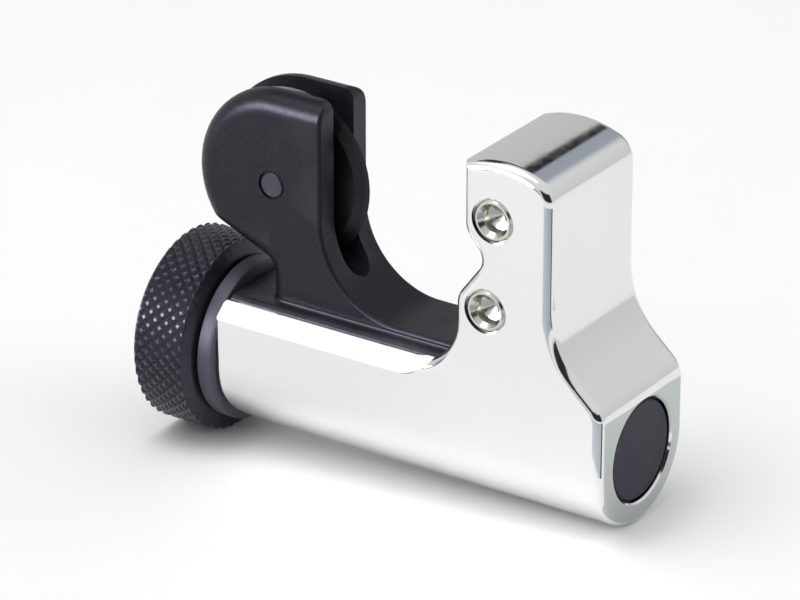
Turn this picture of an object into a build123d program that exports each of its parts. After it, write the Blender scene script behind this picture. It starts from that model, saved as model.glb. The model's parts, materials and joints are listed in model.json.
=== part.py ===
from build123d import *
import math
import os

# Compact close-quarters tube cutter for 3 to 16 mm tube. All sizes are millimetres.
# Working frame: X runs along the feed screw from the knob to the jaw, Z is up, the
# screw axis is Y = 0, Z = 0, and X = 0 is the knob end of the frame casting.
# The written parts are shifted so that the origin is the middle of the underside.

# ---- Frame casting -------------------------------------------------------------
FRAME_LENGTH = 48.1
FRAME_HALF_WIDTH = 8.2
WALL_TOP = 7.1              # height of the two channel walls
CHANNEL_HALF_WIDTH = 6.1
CHANNEL_ROOF = 9.2          # underside of the jaw, above the sliding foot
KNOB_WALL = 3.0             # end wall that carries the screw bush
KNOB_WALL_TOP = 4.6
PLUG_WALL = 2.8             # end wall that the plug closes
JAW_FRONT = 31.15
JAW_BACK = 41.75
JAW_TIP = 31.0
JAW_CROWN = 31.75
JAW_CROWN_PEAK = 35.05      # where the slightly domed top is highest
JAW_BACK_DROP = 1.1         # how much lower the back end of the top is than its front
JAW_MOUTH = (31.15, 23.6)   # lower end of the jaw's upright front
JAW_WAIST = (33.6, 20.6)    # bottom of the notch between the rollers
JAW_FOOT = (30.2, 16.0)     # nose of the jaw round the lower roller
JAW_BACK_CORNER_RADIUS = 3.0
JAW_MOUTH_RADIUS = 2.0
JAW_WAIST_RADIUS = 1.8
JAW_FOOT_RADIUS = 2.5
JAW_ROOT_RADIUS = 6.0       # sweep from the wall tops up to the jaw
BACK_SWEEP_RADIUS = 10.1    # concave sweep from the jaw's back down to the end face
BACK_SWEEP_TOP = 17.0
BACK_SWEEP_ANGLE = 47.5
SHOULDER_RADIUS = 2.8       # corner between the back sweep and the end face
SIDE_FILLET = 1.1
END_FILLET = 0.4
BEVEL_OUTER = 5.45          # where the long wall bevel starts on the side face
BEVEL_INNER = 6.3           # how far from the middle the bevel ends on the wall top
BEVEL_RUNOUT = 23.0         # where the bevel starts to turn up towards the jaw
BEVEL_RUNOUT_RADIUS = 5.0

# ---- Rollers -------------------------------------------------------------------
UPPER_ROLLER = (34.8, 25.4)
LOWER_ROLLER = (34.0, 15.2)
ROLLER_RADIUS = 3.9
ROLLER_LENGTH = 9.4
POCKET_HALF_WIDTH = 4.9     # half width of the slot between the jaw plates
POCKET_BACK = 39.2
POCKET_TOP = 29.6
FLARE_GROOVE_RADIUS = 2.9
FLARE_GROOVE_WIDTH = 1.3
ROLLER_PIN_RADIUS = 1.9
RIVET_HEAD_RADIUS = 2.3
RIVET_SEAT_RADIUS = 2.5
RIVET_HEAD_DEPTH = 0.8
RIVET_DRILL_RADIUS = 1.45
RIVET_DRILL_DEPTH = 1.5
RIVET_DRILL_POINT = 0.8     # further depth of the drill's cone
RIVET_FLARE = (0.4, 0.5)    # widening of the drilled mouth: radial, and in depth
RUNNING_CLEARANCE = 0.05

# ---- Feed screw and knob -------------------------------------------------------
SCREW_RADIUS = 3.0
SCREW_TIP = 36.0
BUSH_RADIUS = 3.9
SPIGOT_RADIUS = 2.5
SPIGOT_FLAT = 1.9           # distance of the drive flat from the axis
SPIGOT_TIP = -6.6
KNOB_FACE = -9.4
KNURL_END = -3.0
KNURL_RADIUS = 10.8
KNURL_CHAMFER = 0.6
KNOB_BACK = -0.15
COLLAR_RADIUS = 8.95
COLLAR_GROOVE = (-2.4, -2.0)
COLLAR_GROOVE_RADIUS = 8.3
KNOB_RECESS_RADIUS = 4.6
KNOB_RECESS_FLOOR = -6.7
SPRING_RECESS_RADIUS = 6.2
SPRING_RECESS_FLOOR = -1.4
WASHER_RADIUS = 5.8
THRUST_WASHER = (-0.55, -0.05)
INNER_WASHER_RADIUS = 3.8
KNOB_WASHER_RADIUS = 3.6
KNOB_WASHER_THICKNESS = 0.6
KNOB_SCREW_RADIUS = 1.25
KNOB_SCREW_LENGTH = 5.0
CLIP_GROOVE = (3.65, 4.25)
CLIP_GROOVE_RADIUS = 2.4
CLIP_RADIUS = 3.9
CLIP_PLAY = 0.05            # how much thinner the clip is than its groove

# ---- Slide and cutter wheel ----------------------------------------------------
WHEEL_AXIS = (4.8, 20.7)
WHEEL_RADIUS = 9.5
WHEEL_FLAT_RADIUS = 8.1
WHEEL_HALF_THICKNESS = 0.75
WHEEL_HUB_RADIUS = 3.4
WHEEL_HUB_HALF_WIDTH = 1.7
WHEEL_PIN_RADIUS = 1.4
EAR_RADIUS = 10.1
EAR_FRONT = 11.0
EAR_HALF_WIDTH = 4.4
EAR_EDGE_FILLET = 2.2       # outer edges of the head, rounded over almost to the slot
EAR_BROW_RADIUS = 1.2       # corner between the flat top and the front face
EAR_RIM_FILLET = 0.4        # edges of the front face and the throat
EAR_SLOT_HALF_WIDTH = 1.85
SLOT_DEPTH = 10.3           # radius of the slot's floor round the wheel axis
SLOT_FRONT_END = 11.0       # lowest point of the slot on the throat
NECK_BACK = 4.2
NECK_TOP = 11.4
NECK_RADIUS = 1.5
UNDERSIDE_TIP = (-2.6, 15.1)
UNDERSIDE_TIP_RADIUS = 2.6
THROAT_RADIUS = 9.5         # concave front of the slide, the shape of a large tube
FOOT_TOP = 8.3
FOOT_FRONT = 27.5
FLANGE_BACK = 0.4
FLANGE_TOP = 7.5
FLANGE_BOTTOM = 4.9
SLIDE_HALF_WIDTH = 5.95
SLIDE_BOTTOM_RADIUS = 5.75
FLANGE_EDGE_FILLET = 0.8
FLANGE_ROOT_FILLET = 0.35
PIN_SEAT = (0.22, 0.3)      # ring groove round the wheel pin: width and depth
SCREW_BORE_CLEARANCE = 0.4
NUT_RADIUS = 4.2
NUT_SPAN = (5.6, 15.6)
NUT_COLLAR_RADIUS = 4.9
NUT_COLLAR_END = 6.6

# ---- End plug ------------------------------------------------------------------
PLUG_BORE_RADIUS = 5.65
PLUG_LIP_RADIUS = 5.85
PLUG_FACE_RADIUS = 5.42
PLUG_FACE = 47.85
PLUG_SHOULDER = 46.9
PLUG_BACK = 45.35

ORIGIN_SHIFT = (-(KNOB_FACE + FRAME_LENGTH) / 2, 0, KNURL_RADIUS)


def side_plate(edges, half_width):
    """Solid with the outline `edges`, drawn in (X, Z), centred on Y = 0."""
    return extrude(Plane.XZ * make_face(edges), half_width, both=True)


def along_y(centre, radius, half_length):
    """Cylinder along Y, centred on Y = 0, at the place `centre` in (X, Z)."""
    disc = Plane.XZ * Pos(centre[0], centre[1]) * Circle(radius)
    return extrude(disc, half_length, both=True)


def along_x(radius, start, end):
    """Cylinder on the screw axis from X = start to X = end."""
    return extrude(Plane.YZ.offset(start) * Circle(radius), end - start)


def turned(points, axis=Axis.X):
    """Solid of revolution of a closed outline drawn in (X, Z)."""
    return revolve(Plane.XZ * make_face(Polyline(*points, close=True)), axis)


def block(x_span, half_width, z_span):
    """Box between two X values and two Z values, centred on Y = 0."""
    x_size = x_span[1] - x_span[0]
    z_size = z_span[1] - z_span[0]
    centre = Pos((x_span[0] + x_span[1]) / 2, 0, (z_span[0] + z_span[1]) / 2)
    return centre * Box(x_size, 2 * half_width, z_size)


def corner(sketch, point, radius):
    """Round the corner of a flat outline that lies nearest to `point`."""
    nearest = sketch.vertices().sort_by_distance((point[0], point[1], 0))[0]
    return fillet(nearest, radius)


def channel_section(half_width, bottom_radius, top):
    """U-shaped section in (Y, Z): a round bottom under two upright sides."""
    bottom = Circle(bottom_radius)
    sides = Pos(0, top / 2) * Rectangle(2 * half_width, top)
    return bottom + sides


def frame_outline():
    """Side view of the casting: barrel, jaw with its notch, and swept back."""
    sweep_centre = JAW_BACK + BACK_SWEEP_RADIUS
    angle = math.radians(BACK_SWEEP_ANGLE)
    sweep_end = (
        sweep_centre - BACK_SWEEP_RADIUS * math.cos(angle),
        BACK_SWEEP_TOP - BACK_SWEEP_RADIUS * math.sin(angle),
    )
    slope = math.cos(angle) / math.sin(angle)
    shoulder = (FRAME_LENGTH, sweep_end[1] - slope * (FRAME_LENGTH - sweep_end[0]))
    half_angle = angle / 2
    sweep_middle = (
        sweep_centre - BACK_SWEEP_RADIUS * math.cos(half_angle),
        BACK_SWEEP_TOP - BACK_SWEEP_RADIUS * math.sin(half_angle),
    )
    back_corner = (JAW_BACK, JAW_TIP - JAW_BACK_DROP)
    end = Polyline((FRAME_LENGTH, -FRAME_HALF_WIDTH), shoulder, sweep_end)
    sweep = ThreePointArc(sweep_end, sweep_middle, (JAW_BACK, BACK_SWEEP_TOP))
    back = Line((JAW_BACK, BACK_SWEEP_TOP), back_corner)
    crown = ThreePointArc(back_corner, (JAW_CROWN_PEAK, JAW_CROWN), (JAW_FRONT, JAW_TIP))
    mouth = Polyline(
        (JAW_FRONT, JAW_TIP),
        JAW_MOUTH,
        JAW_WAIST,
        JAW_FOOT,
        (JAW_FOOT[0], WALL_TOP),
        (0, WALL_TOP),
        (0, -FRAME_HALF_WIDTH),
        (FRAME_LENGTH, -FRAME_HALF_WIDTH),
    )
    outline = make_face(end.edges() + [sweep, back, crown] + mouth.edges())
    outline = corner(outline, shoulder, SHOULDER_RADIUS)
    outline = corner(outline, back_corner, JAW_BACK_CORNER_RADIUS)
    outline = corner(outline, JAW_MOUTH, JAW_MOUTH_RADIUS)
    outline = corner(outline, JAW_WAIST, JAW_WAIST_RADIUS)
    outline = corner(outline, JAW_FOOT, JAW_FOOT_RADIUS)
    return corner(outline, (JAW_FOOT[0], WALL_TOP), JAW_ROOT_RADIUS)


def frame_blank():
    """Casting before its cavities: outline, round belly and rounded outer edges."""
    blank = side_plate(frame_outline().edges(), FRAME_HALF_WIDTH)
    section = channel_section(FRAME_HALF_WIDTH, FRAME_HALF_WIDTH, 2 * JAW_TIP)
    blank &= extrude(Plane.YZ * section, FRAME_LENGTH)
    edges = blank.edges()
    sides = [
        edge
        for edge in edges
        if abs(abs(edge.center().Y) - FRAME_HALF_WIDTH) < 0.01
        and edge.center().X > JAW_FRONT + 1
        and edge.center().Z > 2
    ]
    end_face = [
        edge
        for edge in edges
        if abs(edge.center().X - FRAME_LENGTH) < 0.01 and edge.center().Z < 2
    ]
    blank = fillet(sides + end_face, SIDE_FILLET)
    knob_end = [edge for edge in blank.edges() if edge.bounding_box().max.X < 0.01]
    return fillet(knob_end, END_FILLET)


def wall_bevel():
    """Wedge above the bevel plane of one wall; it turns up and fades out at the jaw."""
    reach = BEVEL_RUNOUT + BEVEL_RUNOUT_RADIUS
    top = BEVEL_OUTER + BEVEL_RUNOUT_RADIUS
    lower = Line((-1, BEVEL_OUTER), (BEVEL_RUNOUT, BEVEL_OUTER))
    turn = CenterArc((BEVEL_RUNOUT, top), BEVEL_RUNOUT_RADIUS, -90, 90)
    rest = Polyline((reach, top), (reach, 20), (-1, 20), (-1, BEVEL_OUTER))
    region = side_plate([lower, turn] + rest.edges(), FRAME_HALF_WIDTH + 1)
    rise = (WALL_TOP - BEVEL_OUTER) / (FRAME_HALF_WIDTH - BEVEL_INNER)
    wedge = Polyline(
        (-FRAME_HALF_WIDTH - 1, BEVEL_OUTER - rise),
        (-BEVEL_INNER + 1, WALL_TOP + rise),
        (-BEVEL_INNER + 1, 20),
        (-FRAME_HALF_WIDTH - 1, 20),
        close=True,
    )
    return region & extrude(Plane.YZ.offset(-1) * make_face(wedge), reach + 2)


def frame_cavity():
    """Space inside the casting: channel, roller pocket, screw hole and plug hole."""
    end = FRAME_LENGTH - PLUG_WALL
    section = channel_section(CHANNEL_HALF_WIDTH, CHANNEL_HALF_WIDTH, CHANNEL_ROOF)
    cavity = extrude(Plane.YZ.offset(KNOB_WALL) * section, end - KNOB_WALL)
    cavity += block((-1, KNOB_WALL + 1), CHANNEL_HALF_WIDTH, (KNOB_WALL_TOP, CHANNEL_ROOF))
    cavity += block((20, POCKET_BACK), POCKET_HALF_WIDTH, (CHANNEL_ROOF - 1, POCKET_TOP))
    cavity += along_x(BUSH_RADIUS, -1, KNOB_WALL + 1)
    cavity += along_x(PLUG_BORE_RADIUS, end - 1, FRAME_LENGTH + 1)
    lip = PLUG_LIP_RADIUS - PLUG_BORE_RADIUS
    cavity += turned([
        (FRAME_LENGTH - lip, 0),
        (FRAME_LENGTH - lip, PLUG_BORE_RADIUS),
        (FRAME_LENGTH + lip, PLUG_BORE_RADIUS + 2 * lip),
        (FRAME_LENGTH + lip, 0),
    ])
    return cavity


def rivet_holes(centre):
    """Cross hole for one roller pin, with a seat for its head in each jaw plate."""
    holes = along_y(centre, ROLLER_PIN_RADIUS, FRAME_HALF_WIDTH + 1)
    seats = along_y(centre, RIVET_SEAT_RADIUS, FRAME_HALF_WIDTH + 1)
    seats -= along_y(centre, RIVET_SEAT_RADIUS + 1, FRAME_HALF_WIDTH - RIVET_HEAD_DEPTH)
    return holes + seats


def make_frame():
    frame = frame_blank()
    bevel = wall_bevel()
    frame -= bevel
    frame -= mirror(bevel, Plane.XZ)
    frame -= frame_cavity()
    frame -= rivet_holes(UPPER_ROLLER)
    frame -= rivet_holes(LOWER_ROLLER)
    return frame


def make_roller(centre):
    """Hardened roller with a central groove that clears the wheel at full feed."""
    half = ROLLER_LENGTH / 2
    groove = FLARE_GROOVE_WIDTH / 2
    edge = 0.3
    bore = ROLLER_PIN_RADIUS + RUNNING_CLEARANCE
    half_profile = [
        (groove, FLARE_GROOVE_RADIUS),
        (groove, ROLLER_RADIUS),
        (half - edge, ROLLER_RADIUS),
        (half, ROLLER_RADIUS - edge),
        (half, bore),
    ]
    other_half = [(-along, radius) for along, radius in reversed(half_profile)]
    profile = Polyline(*(half_profile + other_half), close=True)
    ring = revolve(Plane.YZ * make_face(profile), Axis.Y)
    return Pos(centre[0], 0, centre[1]) * ring


def make_roller_pin(centre):
    """Rivet: solid shank with a flared, drilled head formed at each end."""
    half = FRAME_HALF_WIDTH
    neck = half - RIVET_HEAD_DEPTH
    rim = 0.25
    flare, flare_depth = RIVET_FLARE
    head = [
        (neck, ROLLER_PIN_RADIUS),
        (neck, RIVET_HEAD_RADIUS),
        (half - rim, RIVET_HEAD_RADIUS),
        (half, RIVET_HEAD_RADIUS - rim),
        (half, RIVET_DRILL_RADIUS + flare),
        (half - flare_depth, RIVET_DRILL_RADIUS),
        (half - RIVET_DRILL_DEPTH, RIVET_DRILL_RADIUS),
        (half - RIVET_DRILL_DEPTH - RIVET_DRILL_POINT, 0),
    ]
    other_head = [(-along, radius) for along, radius in reversed(head)]
    profile = Polyline(*(head + other_head), close=True)
    return Pos(centre[0], 0, centre[1]) * revolve(Plane.YZ * make_face(profile), Axis.Y)


def make_end_plug():
    """Press-in plastic cap with a flat face just inside the lip of the frame."""
    wall = 1.4
    edge = 0.2
    lead_in = 0.3
    floor = PLUG_FACE - 1.2
    return turned([
        (PLUG_BACK, PLUG_BORE_RADIUS - wall),
        (PLUG_BACK, PLUG_BORE_RADIUS - lead_in),
        (PLUG_BACK + lead_in, PLUG_BORE_RADIUS),
        (PLUG_SHOULDER, PLUG_BORE_RADIUS),
        (PLUG_SHOULDER, PLUG_FACE_RADIUS),
        (PLUG_FACE - edge, PLUG_FACE_RADIUS),
        (PLUG_FACE, PLUG_FACE_RADIUS - edge),
        (PLUG_FACE, 0),
        (floor, 0),
        (floor, PLUG_BORE_RADIUS - wall),
    ])


def make_screw_bush():
    """Bronze bush in the frame's end wall, the bearing of the feed screw."""
    return along_x(BUSH_RADIUS, 0, KNOB_WALL) - along_x(
        SCREW_RADIUS + RUNNING_CLEARANCE, -1, KNOB_WALL + 1
    )


def make_feed_screw():
    """Screw with a flatted spigot in the knob, a journal, a clip groove and the thread."""
    tip = 1.0
    edge = 0.3
    screw = turned([
        (SPIGOT_TIP, 0),
        (SPIGOT_TIP, SPIGOT_RADIUS - edge),
        (SPIGOT_TIP + edge, SPIGOT_RADIUS),
        (SPRING_RECESS_FLOOR, SPIGOT_RADIUS),
        (SPRING_RECESS_FLOOR, SCREW_RADIUS),
        (CLIP_GROOVE[0], SCREW_RADIUS),
        (CLIP_GROOVE[0], CLIP_GROOVE_RADIUS),
        (CLIP_GROOVE[1], CLIP_GROOVE_RADIUS),
        (CLIP_GROOVE[1], SCREW_RADIUS),
        (SCREW_TIP - tip, SCREW_RADIUS),
        (SCREW_TIP, SCREW_RADIUS - tip),
        (SCREW_TIP, 0),
    ])
    screw -= block((SPIGOT_TIP, SPRING_RECESS_FLOOR), SPIGOT_RADIUS, (SPIGOT_FLAT, SCREW_RADIUS))
    return screw - along_x(KNOB_SCREW_RADIUS, SPIGOT_TIP - 1, SPIGOT_TIP + KNOB_SCREW_LENGTH)


def make_knob():
    """Turned knob: gripping rim, groove and smooth collar, hollow at both faces."""
    groove_start, groove_end = COLLAR_GROOVE
    rim_edge = COLLAR_RADIUS + 0.4
    collar_edge = 0.3
    body = turned([
        (KNOB_FACE, 0),
        (KNOB_FACE, KNURL_RADIUS - KNURL_CHAMFER),
        (KNOB_FACE + KNURL_CHAMFER, KNURL_RADIUS),
        (KNURL_END, KNURL_RADIUS),
        (groove_start, rim_edge),
        (groove_start, COLLAR_GROOVE_RADIUS),
        (groove_end, COLLAR_GROOVE_RADIUS),
        (groove_end, COLLAR_RADIUS),
        (KNOB_BACK - collar_edge, COLLAR_RADIUS),
        (KNOB_BACK, COLLAR_RADIUS - collar_edge),
        (KNOB_BACK, 0),
    ])
    body -= along_x(KNOB_RECESS_RADIUS, KNOB_FACE - 1, KNOB_RECESS_FLOOR)
    body -= along_x(SPRING_RECESS_RADIUS, SPRING_RECESS_FLOOR, 1)
    drive_hole = along_x(SPIGOT_RADIUS, KNOB_FACE, 1)
    flat = block((KNOB_FACE, 1), SPIGOT_RADIUS, (SPIGOT_FLAT, SCREW_RADIUS))
    return body - (drive_hole - flat)


def make_knob_washer():
    start = KNOB_RECESS_FLOOR - KNOB_WASHER_THICKNESS
    return along_x(KNOB_WASHER_RADIUS, start, KNOB_RECESS_FLOOR) - along_x(
        KNOB_SCREW_RADIUS, start - 1, 0
    )


def make_knob_screw():
    """Pan-head screw with a cross recess; it clamps the knob on the feed screw."""
    seat = KNOB_RECESS_FLOOR - KNOB_WASHER_THICKNESS
    head_radius = 2.5
    head_height = 1.3
    head = turned([
        (seat, 0),
        (seat, head_radius),
        (seat - head_height + 0.5, head_radius),
        (seat - head_height, head_radius - 0.8),
        (seat - head_height, 0),
    ])
    recess_depth = 0.8
    slot = Pos(seat - head_height, 0, 0) * Box(2 * recess_depth, 0.6, 2.6)
    head -= slot
    head -= Rot(90, 0, 0) * slot
    return head + along_x(KNOB_SCREW_RADIUS, seat, SPIGOT_TIP + KNOB_SCREW_LENGTH)


def make_thrust_washer():
    """Hard washer that the knob's collar bears against the frame through."""
    return along_x(WASHER_RADIUS, *THRUST_WASHER) - along_x(SCREW_RADIUS, -1, 1)


def make_spring_washer():
    """Conical spring washer that takes up the screw's end play and adds drag."""
    metal = 0.35
    inner = SCREW_RADIUS
    outer = WASHER_RADIUS - 0.4
    return turned([
        (SPRING_RECESS_FLOOR, inner),
        (SPRING_RECESS_FLOOR + metal, inner),
        (THRUST_WASHER[0], outer),
        (THRUST_WASHER[0] - metal, outer),
    ])


def make_inner_washer():
    """Plain washer between the bush and the retaining clip."""
    washer = along_x(INNER_WASHER_RADIUS, KNOB_WALL + RUNNING_CLEARANCE, CLIP_GROOVE[0])
    return washer - along_x(SCREW_RADIUS, KNOB_WALL, CLIP_GROOVE[1])


def make_retaining_clip():
    """Open E-shaped clip in the screw's groove: three teeth reach the groove floor."""
    thickness = CLIP_GROOVE[1] - CLIP_GROOVE[0] - CLIP_PLAY
    tooth_width = 1.6
    mouth_width = 2.6
    outline = Circle(CLIP_RADIUS) - Circle(SCREW_RADIUS + 0.3)
    for angle in (90, 210, 330):
        outline += Rot(0, 0, angle) * Pos(SCREW_RADIUS, 0) * Rectangle(1.4, tooth_width)
    outline -= Circle(CLIP_GROOVE_RADIUS)
    outline -= Pos(0, -CLIP_RADIUS) * Rectangle(mouth_width, CLIP_RADIUS)
    return extrude(Plane.YZ.offset(CLIP_GROOVE[0]) * outline, thickness)


def slide_outline():
    """Side view of the upright: round head, flat top, throat, foot and neck."""
    x_axis, z_axis = WHEEL_AXIS
    top = z_axis + EAR_RADIUS
    throat_centre = (EAR_FRONT + THROAT_RADIUS, FOOT_TOP + THROAT_RADIUS)
    tip_angle = math.degrees(math.atan2(UNDERSIDE_TIP[1] - z_axis, UNDERSIDE_TIP[0] - x_axis))
    head = CenterArc(WHEEL_AXIS, EAR_RADIUS, 90, tip_angle + 360 - 90)
    tip = head @ 1
    bottom = FLANGE_BOTTOM + 0.5
    front = Polyline(
        (x_axis, top),
        (EAR_FRONT, top),
        (EAR_FRONT, throat_centre[1]),
    )
    throat = CenterArc(throat_centre, THROAT_RADIUS, 180, 90)
    rest = Polyline(
        (throat_centre[0], FOOT_TOP),
        (FOOT_FRONT, FOOT_TOP),
        (FOOT_FRONT, bottom),
        (NECK_BACK, bottom),
        (NECK_BACK, NECK_TOP),
        (tip.X, tip.Y),
    )
    outline = make_face(front.edges() + [throat, head] + rest.edges())
    outline = corner(outline, (NECK_BACK, NECK_TOP), NECK_RADIUS)
    return corner(outline, (tip.X, tip.Y), UNDERSIDE_TIP_RADIUS)


def slide_upright():
    """The two wheel ears in one piece, edges rounded, before the slot is cut."""
    upright = side_plate(slide_outline().edges(), EAR_HALF_WIDTH)
    rounded = [
        edge
        for edge in upright.edges()
        if abs(abs(edge.center().Y) - EAR_HALF_WIDTH) < 0.01
        and edge.center().Z > NECK_TOP + 0.2
        and edge.center().X < EAR_FRONT - 0.2
    ]
    upright = fillet(rounded, EAR_EDGE_FILLET)
    brow = (EAR_FRONT, WHEEL_AXIS[1] + EAR_RADIUS)
    rounded_outline = corner(slide_outline(), brow, EAR_BROW_RADIUS)
    upright &= side_plate(rounded_outline.edges(), EAR_HALF_WIDTH)
    rim = [
        edge
        for edge in upright.edges()
        if abs(abs(edge.center().Y) - EAR_HALF_WIDTH) < 0.01
        and abs(edge.center().X - EAR_FRONT) < 0.01
    ]
    return fillet(rim, EAR_RIM_FILLET)


def slide_base():
    """Foot that runs in the channel, with a flange level with the wall tops."""
    length = FOOT_FRONT - NECK_BACK
    section = channel_section(SLIDE_HALF_WIDTH, SLIDE_BOTTOM_RADIUS, FLANGE_TOP)
    base = extrude(Plane.YZ.offset(NECK_BACK) * section, length)
    base += block((FLANGE_BACK, NECK_BACK + 1), SLIDE_HALF_WIDTH, (FLANGE_BOTTOM, FLANGE_TOP))
    long_edges = [
        edge
        for edge in base.edges()
        if abs(edge.center().Z - FLANGE_TOP) < 0.01
        and abs(abs(edge.center().Y) - SLIDE_HALF_WIDTH) < 0.01
    ]
    return fillet(long_edges, FLANGE_EDGE_FILLET)


def make_slide():
    """Sliding wheel carrier: upright with two ears, on a foot bored for nut and screw."""
    x_axis, z_axis = WHEEL_AXIS
    slide = slide_base() + slide_upright()
    joint = [
        edge
        for edge in slide.edges()
        if abs(edge.center().Z - FLANGE_TOP) < 0.01
        and abs(abs(edge.center().Y) - EAR_HALF_WIDTH) < 0.01
        and edge.center().X > NECK_BACK
    ]
    slide = fillet(joint, FLANGE_ROOT_FILLET)
    slot_end = along_y(WHEEL_AXIS, SLOT_DEPTH, EAR_SLOT_HALF_WIDTH)
    slot_foot = Pos(x_axis, 0, SLOT_FRONT_END + EAR_SLOT_HALF_WIDTH) * extrude(
        Plane.YZ * Circle(EAR_SLOT_HALF_WIDTH), 2 * THROAT_RADIUS
    )
    slot_front = block(
        (x_axis, EAR_FRONT + 6), EAR_SLOT_HALF_WIDTH,
        (SLOT_FRONT_END + EAR_SLOT_HALF_WIDTH, z_axis + EAR_RADIUS + 1),
    )
    slide -= slot_end + slot_front + slot_foot
    slide -= along_y(WHEEL_AXIS, WHEEL_PIN_RADIUS, EAR_HALF_WIDTH + 1)
    ring = along_y(WHEEL_AXIS, WHEEL_PIN_RADIUS + PIN_SEAT[0], EAR_HALF_WIDTH + 1)
    ring -= along_y(WHEEL_AXIS, WHEEL_PIN_RADIUS + 1, EAR_HALF_WIDTH - PIN_SEAT[1])
    slide -= ring
    slide -= along_x(NUT_RADIUS, NUT_SPAN[0] - 2, NUT_SPAN[1])
    slide -= along_x(NUT_COLLAR_RADIUS, NECK_BACK - 1, NUT_COLLAR_END)
    return slide - along_x(SCREW_RADIUS + SCREW_BORE_CLEARANCE, 0, FOOT_FRONT + 1)


def make_feed_nut():
    """Bronze nut pressed into the slide; its collar takes the cutting force."""
    nut = along_x(NUT_RADIUS, NUT_SPAN[0], NUT_SPAN[1])
    nut += along_x(NUT_COLLAR_RADIUS, NUT_SPAN[0], NUT_COLLAR_END)
    return nut - along_x(SCREW_RADIUS + RUNNING_CLEARANCE, 0, 20)


def make_cutter_wheel():
    """Hardened disc with a V edge and a hub that fills the slot between the ears."""
    half_profile = [
        (0, WHEEL_RADIUS),
        (WHEEL_HALF_THICKNESS, WHEEL_FLAT_RADIUS),
        (WHEEL_HALF_THICKNESS, WHEEL_HUB_RADIUS + 0.4),
        (WHEEL_HUB_HALF_WIDTH, WHEEL_HUB_RADIUS),
        (WHEEL_HUB_HALF_WIDTH, WHEEL_PIN_RADIUS + RUNNING_CLEARANCE),
    ]
    other_half = [(-along, radius) for along, radius in reversed(half_profile[1:])]
    profile = Polyline(*(half_profile + other_half), close=True)
    disc = revolve(Plane.YZ * make_face(profile), Axis.Y)
    return Pos(WHEEL_AXIS[0], 0, WHEEL_AXIS[1]) * disc


def make_wheel_pin():
    edge = 0.15
    half = EAR_HALF_WIDTH
    profile = Polyline(
        (-half, 0),
        (-half, WHEEL_PIN_RADIUS - edge),
        (-half + edge, WHEEL_PIN_RADIUS),
        (half - edge, WHEEL_PIN_RADIUS),
        (half, WHEEL_PIN_RADIUS - edge),
        (half, 0),
        close=True,
    )
    return Pos(WHEEL_AXIS[0], 0, WHEEL_AXIS[1]) * revolve(Plane.YZ * make_face(profile), Axis.Y)


def all_parts():
    return {
        "frame": make_frame(),
        "end_plug": make_end_plug(),
        "upper_roller": make_roller(UPPER_ROLLER),
        "lower_roller": make_roller(LOWER_ROLLER),
        "upper_roller_pin": make_roller_pin(UPPER_ROLLER),
        "lower_roller_pin": make_roller_pin(LOWER_ROLLER),
        "screw_bush": make_screw_bush(),
        "feed_screw": make_feed_screw(),
        "knob": make_knob(),
        "knob_washer": make_knob_washer(),
        "knob_screw": make_knob_screw(),
        "thrust_washer": make_thrust_washer(),
        "spring_washer": make_spring_washer(),
        "inner_washer": make_inner_washer(),
        "retaining_clip": make_retaining_clip(),
        "slide": make_slide(),
        "feed_nut": make_feed_nut(),
        "cutter_wheel": make_cutter_wheel(),
        "wheel_pin": make_wheel_pin(),
    }


os.makedirs("parts", exist_ok=True)
for name, shape in all_parts().items():
    export_step(Pos(*ORIGIN_SHIFT) * shape, f"parts/{name}.step")
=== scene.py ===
import bpy
import json
import math
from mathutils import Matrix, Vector


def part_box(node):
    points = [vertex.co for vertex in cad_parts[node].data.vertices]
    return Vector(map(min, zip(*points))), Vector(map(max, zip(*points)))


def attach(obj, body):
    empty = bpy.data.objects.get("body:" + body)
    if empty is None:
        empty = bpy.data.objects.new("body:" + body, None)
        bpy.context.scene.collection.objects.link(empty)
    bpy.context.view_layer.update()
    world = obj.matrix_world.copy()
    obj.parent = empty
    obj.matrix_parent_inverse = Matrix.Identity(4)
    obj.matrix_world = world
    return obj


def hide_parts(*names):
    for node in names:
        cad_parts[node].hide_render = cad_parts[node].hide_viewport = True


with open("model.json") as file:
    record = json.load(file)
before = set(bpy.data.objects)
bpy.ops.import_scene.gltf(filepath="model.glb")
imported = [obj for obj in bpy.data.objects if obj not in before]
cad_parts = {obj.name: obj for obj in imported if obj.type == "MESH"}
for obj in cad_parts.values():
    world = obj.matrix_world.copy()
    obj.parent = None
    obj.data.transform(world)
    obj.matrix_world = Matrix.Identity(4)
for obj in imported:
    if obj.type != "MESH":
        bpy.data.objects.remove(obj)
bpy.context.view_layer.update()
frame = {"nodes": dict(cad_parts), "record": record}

MM = 0.001
MICRON = 0.000001
NODES = frame["nodes"]
SLOT_OF = {entry["node"]: entry["material_slot"] for entry in frame["record"]["subparts"]}


def centre_of(node):
    """Middle of a CAD node's box, in metres."""
    low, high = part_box(node)
    return (low + high) / 2


# ---- Node graphs ---------------------------------------------------------------

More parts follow.
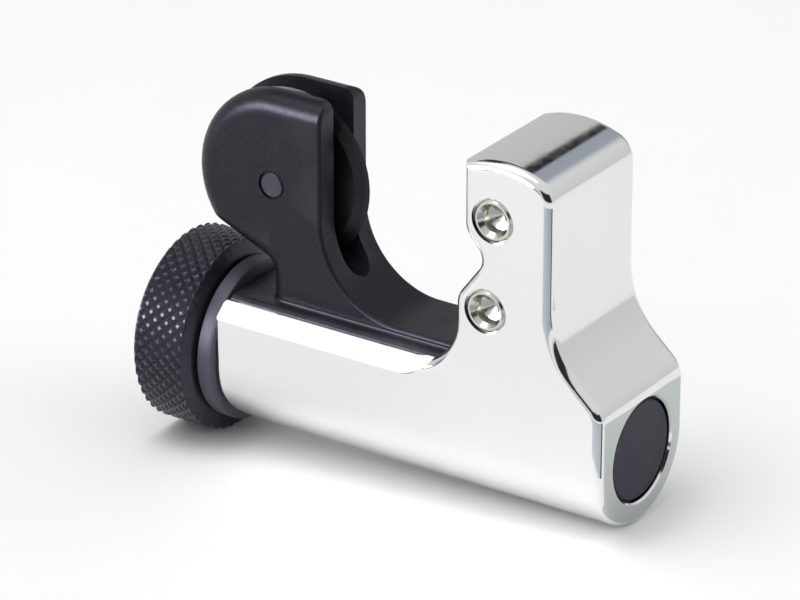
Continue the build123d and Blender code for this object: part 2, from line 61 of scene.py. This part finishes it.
class Graph:
    """Short calls for building a tree of shader nodes."""

    def __init__(self, tree):
        self.tree = tree

    def node(self, kind, inputs=None, **settings):
        made = self.tree.nodes.new(kind)
        for key, value in settings.items():
            setattr(made, key, value)
        for key, value in (inputs or {}).items():
            self.put(made.inputs[key], value)
        return made

    def put(self, socket, value):
        if isinstance(value, bpy.types.NodeSocket):
            self.tree.links.new(value, socket)
        else:
            socket.default_value = value

    def remap(self, value, low, high, out_low=0.0, out_high=1.0, smooth=False):
        ranged = self.node("ShaderNodeMapRange", {
            "Value": value, "From Min": low, "From Max": high,
            "To Min": out_low, "To Max": out_high,
        }, interpolation_type="SMOOTHSTEP" if smooth else "LINEAR")
        return ranged.outputs["Result"]

    def mix(self, factor, first, second):
        mixed = self.node("ShaderNodeMix", data_type="RGBA")
        self.put(mixed.inputs["Factor"], factor)
        self.put(mixed.inputs["A"], (*first, 1) if isinstance(first, tuple) else first)
        self.put(mixed.inputs["B"], (*second, 1) if isinstance(second, tuple) else second)
        return mixed.outputs["Result"]

    def math(self, operation, first, second=0.0):
        made = self.node("ShaderNodeMath", operation=operation)
        self.put(made.inputs[0], first)
        self.put(made.inputs[1], second)
        return made.outputs["Value"]

    def window(self, value, low, high, before, after):
        """1 between two limits, falling to 0 over a soft margin before and after them."""
        rise = self.remap(value, low - before, low, smooth=True)
        fall = self.remap(value, high, high + after, 1.0, 0.0, smooth=True)
        return self.math("MULTIPLY", rise, fall)


class Shader(Graph):
    """A material with a Principled shader, patterned in object space."""

    def __init__(self, name):
        self.material = bpy.data.materials.new(name)
        self.material.use_nodes = True
        super().__init__(self.material.node_tree)
        self.principled = self.tree.nodes["Principled BSDF"]
        coordinates = self.tree.nodes.new("ShaderNodeTexCoord")
        self.position = coordinates.outputs["Object"]

    def set(self, **values):
        for key, value in values.items():
            self.put(self.principled.inputs[key.replace("_", " ")], value)

    def specular(self, level, tint=(1, 1, 1)):
        self.principled.inputs["Specular IOR Level"].default_value = level
        self.principled.inputs["Specular Tint"].default_value = (*tint, 1)

    def noise(self, scale, detail=3.0, roughness=0.5, stretch=(1, 1, 1)):
        """Noise in object space; scale is in features per metre."""
        mapping = self.node("ShaderNodeMapping", {"Vector": self.position, "Scale": stretch})
        texture = self.node("ShaderNodeTexNoise", {
            "Vector": mapping.outputs["Vector"], "Scale": scale,
            "Detail": detail, "Roughness": roughness,
        })
        return texture.outputs["Fac"]

    def voronoi(self, scale):
        texture = self.node("ShaderNodeTexVoronoi", {"Vector": self.position, "Scale": scale})
        return texture.outputs["Distance"]

    def edges(self):
        """1 along convex edges, from the mesh's pointiness, which is 0.5 where it is flat."""
        almost_flat, sharp = 0.52, 0.60
        geometry = self.node("ShaderNodeNewGeometry")
        return self.remap(geometry.outputs["Pointiness"], almost_flat, sharp)

    def bump(self, height, distance, strength):
        made = self.node("ShaderNodeBump", {
            "Height": height, "Distance": distance, "Strength": strength,
        })
        self.set(Normal=made.outputs["Normal"])

    def radius_from(self, middle, keep):
        """Distance from an axis through a point; `keep` is 0 along the axis."""
        offset = self.node("ShaderNodeVectorMath", {
            0: self.position, 1: tuple(middle),
        }, operation="SUBTRACT")
        flat = self.node("ShaderNodeVectorMath", {
            0: offset.outputs["Vector"], 1: keep,
        }, operation="MULTIPLY")
        length = self.node("ShaderNodeVectorMath", {0: flat.outputs["Vector"]}, operation="LENGTH")
        return length.outputs["Value"]


# ---- Materials -----------------------------------------------------------------

ACROSS = (0.25, 3.0, 0.25)      # marks round an axis along Y
ALONG_X = (3.0, 0.3, 0.3)       # marks round an axis along X
COOL = (0.84, 0.80, 1.0)        # slightly violet reflections of the black finishes
COLLAR_LENGTH = 1.85 * MM       # smooth collar on the knob's inner side


def chrome():
    """Polished plate on a die-casting: faint waviness, haze and rare pits."""
    shader = Shader("chrome_plate")
    haze = shader.noise(900, 4, 0.6)
    wave = shader.noise(110, 2, 0.5)
    tint = shader.mix(shader.noise(60, 2), (0.78, 0.785, 0.78), (0.85, 0.85, 0.845))
    shader.set(
        Base_Color=tint,
        Metallic=1.0,
        Roughness=shader.remap(haze, 0.35, 0.75, 0.07, 0.14),
    )
    pits = shader.remap(shader.voronoi(1500), 0.0, 0.12)
    height = shader.math("ADD", shader.math("MULTIPLY", wave, 3.0), pits)
    shader.bump(height, 4 * MICRON, 0.6)
    return shader.material


def black_casting():
    """Semi-matte black coat: fine orange peel, lighter where edges are worn."""
    shader = Shader("black_coat")
    grain = shader.noise(2600, 5, 0.65)
    speckle = shader.noise(5200, 2, 0.5)
    patches = shader.noise(180, 3, 0.5)
    body = shader.mix(patches, (0.0066, 0.0060, 0.0086), (0.0105, 0.0096, 0.0135))
    body = shader.mix(shader.remap(speckle, 0.50, 0.75), body, (0.024, 0.022, 0.030))
    worn = shader.math("MULTIPLY", shader.edges(), shader.remap(patches, 0.4, 0.7, 0.0, 0.5))
    shader.set(
        Base_Color=shader.mix(worn, body, (0.075, 0.072, 0.085)),
        Roughness=shader.remap(grain, 0.3, 0.75, 0.30, 0.44),
    )
    shader.specular(0.26, COOL)
    shader.bump(grain, 30 * MICRON, 0.5)
    return shader.material


def black_knob():
    """Black finish on a turned knob: fine marks, knurl tips lighter from rubbing and from painted
    glints, and a smooth collar painted paler as a stand-in for its sheen.
    """
    shader = Shader("black_knob")
    marks = shader.noise(700, 3, 0.5, (6, 0.4, 0.4))
    grain = shader.noise(2400, 4, 0.6)
    low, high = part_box("knob")
    rim = (high.z - low.z) / 2
    # knurl tips painted lighter: partly wear from rubbing, partly painted glints of light on the
    # tips
    tips = shader.remap(
        shader.radius_from((low + high) / 2, (0, 1, 1)), rim - 0.08 * MM, rim - 0.02 * MM
    )
    worn_and_glinting_tips = shader.math("MULTIPLY", tips, shader.remap(grain, 0.50, 0.72))
    body = shader.mix(grain, (0.010, 0.0095, 0.013), (0.019, 0.018, 0.025))
    axes = shader.node("ShaderNodeSeparateXYZ", {"Vector": shader.position})
    collar_start = high.x - COLLAR_LENGTH
    collar = shader.remap(axes.outputs["X"], collar_start - 0.05 * MM, collar_start)
    # painted sheen: the smooth collar gets a paler colour that stands in for its highlight, on the
    # same black finish
    body = shader.mix(collar, body, (0.060, 0.056, 0.074))
    shader.set(
        Base_Color=shader.mix(worn_and_glinting_tips, body, (0.16, 0.16, 0.18)),
        Roughness=shader.math(
            "ADD", shader.remap(marks, 0.3, 0.7, 0.28, 0.42),
            shader.math("MULTIPLY", collar, 0.14),
        ),
    )
    shader.specular(0.5, COOL)
    shader.bump(grain, 20 * MICRON, 0.4)
    return shader.material


def black_plastic():
    """Moulded plastic with a fine spark-eroded texture."""
    shader = Shader("black_plastic")
    grain = shader.noise(3200, 4, 0.7)
    clouds = shader.noise(350, 3, 0.5)
    shader.set(
        Base_Color=shader.mix(clouds, (0.028, 0.0245, 0.036), (0.043, 0.038, 0.053)),
        Roughness=shader.remap(grain, 0.3, 0.7, 0.48, 0.64),
    )
    shader.specular(0.38, COOL)
    shader.bump(grain, 50 * MICRON, 0.7)
    return shader.material


def steel(name, colour, roughness, scratch=(1, 1, 1)):
    """Machined steel with fine directional marks and slight staining."""
    shader = Shader(name)
    marks = shader.noise(1600, 3, 0.55, scratch)
    stain = shader.noise(240, 3, 0.5)
    stained = tuple(channel * 0.72 for channel in colour)
    shader.set(
        Base_Color=shader.mix(stain, stained, colour),
        Roughness=shader.remap(marks, 0.3, 0.7, roughness - 0.06, roughness + 0.08),
        Metallic=1.0,
    )
    shader.bump(marks, 12 * MICRON, 0.35)
    return shader.material


def wheel_steel():
    """Dark hardened disc with a slightly lighter, even band along its cutting edge: partly the
    ground steel, partly a painted highlight of the rim.
    """
    shader = Shader("wheel_steel")
    low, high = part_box("cutter_wheel")
    middle = (low + high) / 2
    radius = shader.radius_from(middle, (1, 0, 1))
    edge = (high.z - low.z) / 2
    # band along the edge: ground steel, and partly a painted highlight of the rim
    ground_edge_and_rim_highlight = shader.remap(radius, edge - 0.50 * MM, edge - 0.20 * MM, smooth=True)
    marks = shader.noise(1500, 3, 0.55, ACROSS)
    dark = shader.mix(marks, (0.016, 0.0155, 0.018), (0.030, 0.029, 0.033))
    shader.set(
        Base_Color=shader.mix(ground_edge_and_rim_highlight, dark, (0.032, 0.031, 0.037)),
        Roughness=shader.remap(marks, 0.3, 0.7, 0.30, 0.46),
        Metallic=0.85,
    )
    shader.bump(marks, 12 * MICRON, 0.35)
    return shader.material


def make_materials():
    return {
        "chrome_casting": chrome(),
        "black_casting": black_casting(),
        "black_knob": black_knob(),
        "black_plastic": black_plastic(),
        "roller_steel": steel("roller_steel", (0.60, 0.60, 0.61), 0.24, ACROSS),
        "pin_steel": steel("pin_steel", (0.66, 0.66, 0.61), 0.20, ACROSS),
        "wheel_steel": wheel_steel(),
        "black_pin": steel("black_pin", (0.065, 0.063, 0.075), 0.45),
        "screw_steel": steel("screw_steel", (0.36, 0.36, 0.37), 0.28, ALONG_X),
        "zinc_steel": steel("zinc_steel", (0.62, 0.62, 0.60), 0.30),
        "bronze": steel("bronze", (0.60, 0.42, 0.20), 0.32, ALONG_X),
    }


MATERIALS = make_materials()
for node_name, cad_piece in NODES.items():
    cad_piece.data.materials.clear()
    cad_piece.data.materials.append(MATERIALS[SLOT_OF[node_name]])


# ---- Knob and feed screw -------------------------------------------------------

AXIS_HEIGHT = centre_of("feed_screw").z


def polar(x, radius, turn):
    """Point at a distance from the screw axis, a part of a turn round it."""
    angle = math.tau * turn
    return (x, radius * math.cos(angle), AXIS_HEIGHT + radius * math.sin(angle))


def new_piece(name, points, faces, body, slot):
    """A mesh object riding on a body, smooth except at its sharp edges."""
    mesh = bpy.data.meshes.new(name)
    mesh.from_pydata(points, [], faces)
    mesh.validate()
    mesh.shade_smooth()
    mesh.set_sharp_from_angle(angle=math.radians(28))
    mesh.materials.append(MATERIALS[slot])
    piece = bpy.data.objects.new(name, mesh)
    bpy.context.scene.collection.objects.link(piece)
    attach(piece, body)
    return piece


SURFACE_INSET = 0.01 * MM           # keeps the turned pieces inside their CAD solids
KNURLS_ROUND = 46
KNURL_ROWS = 4
KNURL_DEPTH = 0.28 * MM
KNURL_MARKS = (0.0, 0.34, 0.66)     # groove, then both sides of a diamond's flat tip
LINES = len(KNURL_MARKS)            # lattice lines for each diamond
TIP_LINE = 1                        # the cell after this line is a diamond's flat tip


def knurl_mark(index):
    """Place of a lattice line, counted in diamonds."""
    return index // LINES + KNURL_MARKS[index % LINES]


def knurl_lattice(points, faces, start, pitch, tip_radius):
    """Cut diamonds between two slanted sets of grooves. Lines of one set are numbered
    by `first`; `gap` is how many lines behind it the other set's line is.
    Returns the rows of points at both ends, in step with the knurl marks."""
    count = LINES * KNURLS_ROUND
    last_gap = 2 * LINES * KNURL_ROWS
    index_of = {}
    for first in range(count):
        for gap in range(last_gap + 1):
            one, other = knurl_mark(first), knurl_mark(first - gap)
            in_groove = first % LINES == 0 or (first - gap) % LINES == 0
            radius = tip_radius - (KNURL_DEPTH if in_groove else 0.0)
            index_of[first, gap] = len(points)
            turn = (one + other) / (2 * KNURLS_ROUND)
            points.append(polar(start + pitch * (one - other) / 2, radius, turn))

    def at(first, gap):
        return index_of[first % count, gap]

    for first in range(count):
        for gap in range(last_gap + 1):
            near, far = at(first, gap), at(first + 1, gap)
            if gap % LINES == 0:    # split along the ring, so the knurl ends in plain circles
                if gap < last_gap:
                    faces.append((near, far, at(first + 1, gap + 1)))
                if gap > 0:
                    faces.append((near, at(first, gap - 1), far))
                continue
            right, left = at(first + 1, gap + 1), at(first, gap - 1)
            if first % LINES != TIP_LINE and (first - gap) % LINES != TIP_LINE:
                # beside a crossing of two grooves, where four points aren't in one plane
                faces.append((near, left, right))
                faces.append((right, left, far))
            else:
                faces.append((near, left, far, right))
    begin = [at(index, 0) for index in range(count)]
    end = [at(index + LINES * KNURL_ROWS, last_gap) for index in range(count)]
    return begin, end


RECESS_RADIUS = 4.60 * MM           # round the screw in the knob's outer face
RECESS_DEPTH = 2.7 * MM
KNOB_BORE = 2.52 * MM
SPRING_RECESS_RADIUS = 6.20 * MM    # recess in the collar, round the spring washer
SPRING_RECESS_DEPTH = 1.25 * MM
COLLAR_RADIUS = 8.95 * MM
GROOVE_RADIUS = 8.30 * MM           # groove between the collar and the knurled rim
GROOVE_END = 2.25 * MM
RIM_SHOULDER = 9.30 * MM
KNURL_START = 0.45 * MM             # from the outer face
KNURL_END = 2.85 * MM               # from the inner face


def knob_profile(face, back, tip_radius):
    """Section of the knob from the knurl's outer end, through the bore, to its inner end."""
    return [
        (face, tip_radius - 0.60 * MM),
        (face, RECESS_RADIUS + 0.20 * MM),
        (face + 0.2 * MM, RECESS_RADIUS),
        (face + RECESS_DEPTH, RECESS_RADIUS),
        (face + RECESS_DEPTH, KNOB_BORE),
        (back - SPRING_RECESS_DEPTH, KNOB_BORE),
        (back - SPRING_RECESS_DEPTH, SPRING_RECESS_RADIUS),
        (back, SPRING_RECESS_RADIUS),
        (back, COLLAR_RADIUS - 0.30 * MM),
        (back - 0.10 * MM, COLLAR_RADIUS - 0.08 * MM),
        (back - 0.30 * MM, COLLAR_RADIUS),
        (back - COLLAR_LENGTH + 0.10 * MM, COLLAR_RADIUS),
        (back - COLLAR_LENGTH, COLLAR_RADIUS - 0.10 * MM),
        (back - COLLAR_LENGTH, GROOVE_RADIUS),
        (back - GROOVE_END, GROOVE_RADIUS),
        (back - GROOVE_END, RIM_SHOULDER),
        (back - GROOVE_END - 0.07 * MM, RIM_SHOULDER + 0.15 * MM),
        (back - KNURL_END + 0.12 * MM, tip_radius - 0.25 * MM),
    ]


def make_knob():
    """Knob with a diamond-cut rim, a smooth collar and a recess at each face."""
    low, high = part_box("knob")
    face, back = low.x, high.x
    tip_radius = (high.z - low.z) / 2 - SURFACE_INSET
    start = face + KNURL_START
    end = back - KNURL_END
    points, faces = [], []
    begin_row, end_row = knurl_lattice(
        points, faces, start, (end - start) / KNURL_ROWS, tip_radius
    )
    around = len(begin_row)
    rows = [begin_row]
    for x, radius in knob_profile(face, back, tip_radius):
        rows.append(range(len(points), len(points) + around))
        for index in range(around):
            points.append(polar(x, radius, knurl_mark(index) / KNURLS_ROUND))
    rows.append(end_row)
    for first, second in zip(rows, rows[1:]):
        for index in range(around):
            after = (index + 1) % around
            faces.append((first[index], second[index], second[after], first[after]))
    piece = new_piece("knurled_knob", points, faces, "feed", "black_knob")
    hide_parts("knob")


THREAD_PITCH = 1.5 * MM
THREAD_DEPTH = 0.80 * MM
THREAD_START = 11.4 * MM            # this and the next lengths count from the knob's end
SPIGOT_LENGTH = 5.2 * MM            # flatted end that carries the knob
SPIGOT_RADIUS = 2.50 * MM
SPIGOT_FLAT = 1.9 * MM              # height of the flat above the axis
SCREW_HOLE_DEPTH = 5.0 * MM         # for the knob's screw
SCREW_HOLE_RADIUS = 1.25 * MM
CLIP_GROOVE = (10.25 * MM, 10.85 * MM)
CLIP_GROOVE_RADIUS = 2.40 * MM
TIP_CHAMFER = 1.0 * MM
RING_POINTS = 48
RINGS_PER_PITCH = 12


def thread_radius(x, turn, crest):
    """Radius of a left-hand trapezoid thread at a place on the screw."""
    crest_end, flank_width = 0.15, 0.7      # shares of half a pitch
    phase = (x / THREAD_PITCH + turn) % 1.0
    from_crest = abs(2 * phase - 1)
    return crest - THREAD_DEPTH * min(max((from_crest - crest_end) / flank_width, 0.0), 1.0)


def make_feed_screw():
    """Feed screw: flatted spigot, journal, clip groove and left-hand thread."""
    low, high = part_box("feed_screw")
    front, tip = low.x, high.x
    crest = (high.z - low.z) / 2 - SURFACE_INSET
    tip_radius = crest - TIP_CHAMFER
    hole_end = (front + SCREW_HOLE_DEPTH, 0.0, AXIS_HEIGHT)
    spigot = [
        (front + SCREW_HOLE_DEPTH, SCREW_HOLE_RADIUS), (front, SCREW_HOLE_RADIUS),
        (front, SPIGOT_RADIUS - 0.30 * MM), (front + 0.3 * MM, SPIGOT_RADIUS),
        (front + SPIGOT_LENGTH, SPIGOT_RADIUS),
    ]
    groove_start, groove_end = (front + place for place in CLIP_GROOVE)
    journal = [
        (front + SPIGOT_LENGTH, crest), (groove_start, crest),
        (groove_start, CLIP_GROOVE_RADIUS), (groove_end, CLIP_GROOVE_RADIUS),
        (groove_end, crest), (front + THREAD_START, crest),
    ]
    rings = spigot + journal
    first_thread_ring = len(rings)
    spacing = THREAD_PITCH / RINGS_PER_PITCH
    thread_start = front + THREAD_START
    for step in range(1, int((tip - thread_start) / spacing) + 1):
        x = thread_start + step * spacing
        rings.append((x, min(crest, tip_radius + (tip - x))))
    rings.append((tip, tip_radius))
    flat = AXIS_HEIGHT + SPIGOT_FLAT
    points = [hole_end]
    for number, (x, limit) in enumerate(rings):
        for step in range(RING_POINTS):
            turn = step / RING_POINTS
            radius = limit
            if number >= first_thread_ring:
                radius = min(limit, thread_radius(x, turn, crest))
            place = polar(x, radius, turn)
            if number < len(spigot):
                place = (place[0], place[1], min(place[2], flat))
            points.append(place)
    points.append((tip, 0.0, AXIS_HEIGHT))
    faces = []
    for number in range(len(rings) - 1):
        row = 1 + number * RING_POINTS
        next_row = row + RING_POINTS
        for step in range(RING_POINTS):
            after = (step + 1) % RING_POINTS
            faces.append((row + step, row + after, next_row + after, next_row + step))
    last_row = 1 + (len(rings) - 1) * RING_POINTS
    for step in range(RING_POINTS):
        after = (step + 1) % RING_POINTS
        faces.append((0, 1 + after, 1 + step))
        faces.append((len(points) - 1, last_row + step, last_row + after))
    piece = new_piece("threaded_screw", points, faces, "feed", "screw_steel")
    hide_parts("feed_screw")


make_knob()
make_feed_screw()


# ---- Camera, floor and lights --------------------------------------------------

VIEW_AZIMUTH = math.radians(34.0)
VIEW_ELEVATION = math.radians(24.8)
VIEW_DISTANCE = 0.4902
LENS = 210.2
FRAME_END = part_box("frame")[0].x
VIEW_TARGET = Vector((FRAME_END + 18.09 * MM, 0, AXIS_HEIGHT + 9.26 * MM))


def make_camera():
    data = bpy.data.cameras.new("camera")
    data.lens = LENS
    data.sensor_width = 36.0
    data.clip_start = 0.01
    data.clip_end = 20.0
    camera = bpy.data.objects.new("camera", data)
    back = Vector((
        math.sin(VIEW_AZIMUTH) * math.cos(VIEW_ELEVATION),
        -math.cos(VIEW_AZIMUTH) * math.cos(VIEW_ELEVATION),
        math.sin(VIEW_ELEVATION),
    ))
    camera.location = VIEW_TARGET + back * VIEW_DISTANCE
    camera.rotation_mode = "QUATERNION"
    camera.rotation_quaternion = (-back).to_track_quat("-Z", "Y")
    bpy.context.scene.collection.objects.link(camera)
    bpy.context.scene.camera = camera


def make_floor():
    """Pale table top, tilted so that it nearly touches the knob's rim and the plug end."""
    half_width = 3.0
    gap = 0.05 * MM
    knob_low, knob_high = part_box("knob")
    frame_low, frame_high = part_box("frame")
    rim_x = knob_high.x - 6 * MM
    end_x = frame_high.x - 1 * MM
    slope = math.atan2(frame_low.z - knob_low.z, end_x - rim_x)
    corners = ((-1, -1), (1, -1), (1, 1), (-1, 1))
    mesh = bpy.data.meshes.new("table_top")
    mesh.from_pydata(
        [(across * half_width, along * half_width, 0) for across, along in corners],
        [], [(0, 1, 2, 3)],
    )
    table = bpy.data.objects.new("table_top", mesh)
    table.location = (rim_x, 0, knob_low.z - gap)
    table.rotation_euler = (0, -slope, 0)
    bpy.context.scene.collection.objects.link(table)
    shader = Shader("table_top")
    shader.set(
        Base_Color=shader.mix(shader.noise(40, 2), (0.93, 0.93, 0.93), (0.96, 0.96, 0.96)),
        Roughness=0.9,
    )
    shader.specular(0.1)
    mesh.materials.append(shader.material)
    return table


CARD_HEIGHT = 0.4 * MM              # above the table
CARD_STEPS = 24


def card(name, table, centre, radii, degrees, first, second):
    """Part of a ring lying just above the table, seen only in mirror-like surfaces, where it
    paints a reflection of shade.
    Angles run from -Y towards +X; the shade changes along X, from one end to the other."""
    middle_x, middle_y = centre[0] - table.location.x, centre[1]
    points = []
    for step in range(CARD_STEPS + 1):
        angle = math.radians(degrees[0] + (degrees[1] - degrees[0]) * step / CARD_STEPS)
        for radius in radii:
            x = middle_x + radius * math.sin(angle)
            y = middle_y - radius * math.cos(angle)
            points.append((x, y, CARD_HEIGHT))
    faces = [
        (near, near + 1, near + 3, near + 2) for near in range(0, 2 * CARD_STEPS, 2)
    ]
    mesh = bpy.data.meshes.new(name)
    mesh.from_pydata(points, [], faces)
    piece = bpy.data.objects.new(name, mesh)
    piece.location = table.location
    piece.rotation_euler = table.rotation_euler
    bpy.context.scene.collection.objects.link(piece)
    shader = Shader(name)
    axes = shader.node("ShaderNodeSeparateXYZ", {"Vector": shader.position})
    along = shader.remap(axes.outputs["X"], points[0][0], points[-1][0])
    shader.set(Base_Color=shader.mix(along, first, second), Roughness=0.9)
    shader.specular(0.1)
    mesh.materials.append(shader.material)
    piece.visible_camera = False
    piece.visible_diffuse = False
    piece.visible_shadow = False


def make_cards(table):
    """Painted reflections seen only in mirror-like surfaces: a grey card mirrored in the casting's
    end face, as the painted shadow of the casting on the table; one mirrored in the jaw's rounded
    back edge, as a painted reflection of grey shade; and a narrow black one beside the second, a
    painted dark line."""
    low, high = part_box("frame")
    # painted shadow: the casting's shade on the table, as its end face mirrors it
    card("end_painted_shadow_card", table, (high.x, low.y), (1 * MM, 47 * MM), (110, 180),
         (0.60, 0.64, 0.63), (0.56, 0.60, 0.58))
    edge = (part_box("upper_roller_pin")[1].x + 4 * MM, low.y)
    reach = (20 * MM, 110 * MM)
    black = (0.02, 0.02, 0.025)
    # painted reflection of bluish grey shade in the jaw's rounded back edge, darker towards its
    # far end
    card("edge_painted_reflection_card", table, edge, reach, (-10, 74), (0.56, 0.60, 0.66), (0.28, 0.31, 0.36))
    # painted dark line beside it in the same reflection
    card("edge_painted_dark_line", table, edge, reach, (74, 84), black, black)


def area_light(name, place, aim, size, power, colour=(1, 1, 1)):
    data = bpy.data.lights.new(name, "AREA")
    data.shape = "RECTANGLE"
    data.size, data.size_y = size
    data.energy = power
    data.color = colour
    light = bpy.data.objects.new(name, data)
    light.location = place
    light.rotation_mode = "QUATERNION"
    light.rotation_quaternion = (Vector(aim) - Vector(place)).to_track_quat("-Z", "Y")
    bpy.context.scene.collection.objects.link(light)
    return light


def make_world():
    """White tent, brighter towards the top, with patches that the casting mirrors.
    Azimuth runs from +Y towards +X, in degrees."""
    world = bpy.data.worlds.new("studio")
    world.use_nodes = True
    sky = Graph(world.node_tree)
    coordinates = sky.node("ShaderNodeTexCoord")
    axes = sky.node("ShaderNodeSeparateXYZ", {"Vector": coordinates.outputs["Generated"]})
    degree = math.radians(1)
    height = sky.math("DIVIDE", sky.math("ARCSINE", axes.outputs["Z"]), degree)
    around = sky.math("DIVIDE", sky.math("ARCTAN2", axes.outputs["X"], axes.outputs["Y"]), degree)
    colour = sky.mix(
        sky.remap(height, -10, 60, smooth=True), (0.84, 0.85, 0.86), (1.0, 1.0, 1.0)
    )

    def paint(under, azimuths, heights, shade):
        """One soft-edged patch of sky. Azimuths and heights each give two limits in
        degrees, then the softness before and after them."""
        patch = sky.math(
            "MULTIPLY", sky.window(around, *azimuths), sky.window(height, *heights)
        )
        return sky.mix(patch, under, shade)

    # pale grey wall on the far left
    colour = paint(colour, (-80, -13, 9, 9), (-90, 33, 1, 1.5), (0.75, 0.75, 0.74))
    # bluish middle of the far side
    colour = paint(colour, (-13, 2, 7, 24), (-4, 44, 8, 12), (0.45, 0.49, 0.56))
    # dark gap above the wall, which climbs on the left
    colour = paint(colour, (-80, -50, 12, 6), (42, 55, 6, 5), (0.05, 0.05, 0.06))
    colour = paint(colour, (-54, -14, 2, 2), (34, 47, 1.5, 1.5), (0.02, 0.02, 0.025))
    # dark near right side
    colour = paint(colour, (100, 165, 8, 8), (-90, 28, 1, 6), (0.03, 0.03, 0.04))
    # grey horizon on the near left, and a bright patch high above it
    colour = paint(colour, (-172, -110, 8, 8), (-90, 5, 1, 6), (0.30, 0.31, 0.33))
    colour = paint(colour, (-145, -108, 25, 20), (45, 60, 16, 12), (1.55, 1.55, 1.52))
    background = world.node_tree.nodes["Background"]
    sky.put(background.inputs["Color"], colour)
    background.inputs["Strength"].default_value = 0.80
    bpy.context.scene.world = world


def make_lights():
    """Soft key nearly overhead, a strip for reflections alone, and a fill without them."""
    area_light("key", (-0.15, -0.13, 0.68), (0, 0, 0.02), (0.36, 0.36), 1.62)
    strip = area_light(
        "strip", (-0.28, -0.42, 0.17), (0, 0, 0.03), (0.36, 0.20), 5.0, (0.94, 0.92, 1.0)
    )
    strip.visible_diffuse = False
    fill = area_light("fill", (0.50, 0.20, 0.30), (0.05, 0, 0), (0.40, 0.40), 0.45)
    fill.visible_glossy = False


make_camera()
make_cards(make_floor())
make_world()
make_lights()
bpy.context.scene.view_settings.view_transform = "Standard"
